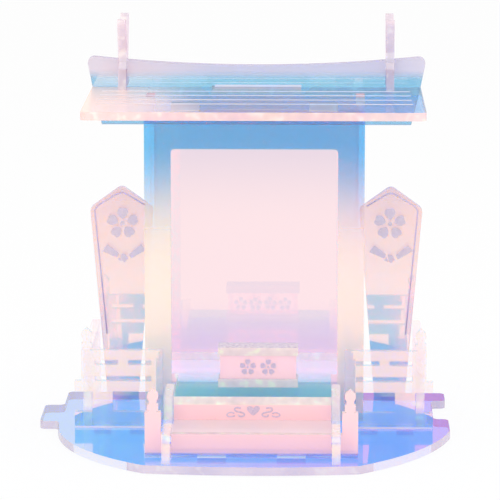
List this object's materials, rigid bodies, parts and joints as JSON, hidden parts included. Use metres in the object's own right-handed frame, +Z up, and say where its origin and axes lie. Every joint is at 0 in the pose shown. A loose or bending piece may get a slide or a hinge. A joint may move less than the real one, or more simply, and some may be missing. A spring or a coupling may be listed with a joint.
{
  "type": "kamidana household shrine kit",
  "caption": "Small tabletop shrine of slotted clear iridescent sheet: body, curved roof with forked finials, stair, railings, side boards and offering box.",
  "frame": {"origin": "on the ground, under the middle of the front frame's front face", "axes": "+Z up, +Y from the front to the back, +X to the right seen from the front"},
  "size_m": [0.15, 0.1271, 0.147],
  "materials": {
    "clear_sheet": "clear sheet with an iridescent film that shows pink, peach and blue",
    "roof_sheet": "clear iridescent sheet lying level, which shows blue and violet",
    "ground_sheet": "clear iridescent sheet lying level, which shows blue and violet",
    "mirror_sheet": "iridescent sheet that mirrors the room before it"
  },
  "bodies": {
    "root": {"back_panel": "mirror_sheet", "base_plate": "ground_sheet", "board_left": "clear_sheet", "board_right": "clear_sheet", "box_back": "clear_sheet", "box_base": "clear_sheet", "box_front": "clear_sheet", "box_lid": "clear_sheet", "box_side_left": "clear_sheet", "box_side_right": "clear_sheet", "chigi_left": "clear_sheet", "chigi_right": "clear_sheet", "fence_front_left": "clear_sheet", "fence_front_right": "clear_sheet", "fence_side_left": "clear_sheet", "fence_side_right": "clear_sheet", "floor_plate": "ground_sheet", "front_frame": "clear_sheet", "roof_board": "roof_sheet", "roof_plate": "roof_sheet", "side_wall_left": "clear_sheet", "side_wall_right": "clear_sheet", "stair_riser_lower": "clear_sheet", "stair_riser_upper": "clear_sheet", "stair_tread_lower": "ground_sheet", "stringer_left": "clear_sheet", "stringer_right": "clear_sheet"}
  },
  "joints": []
}
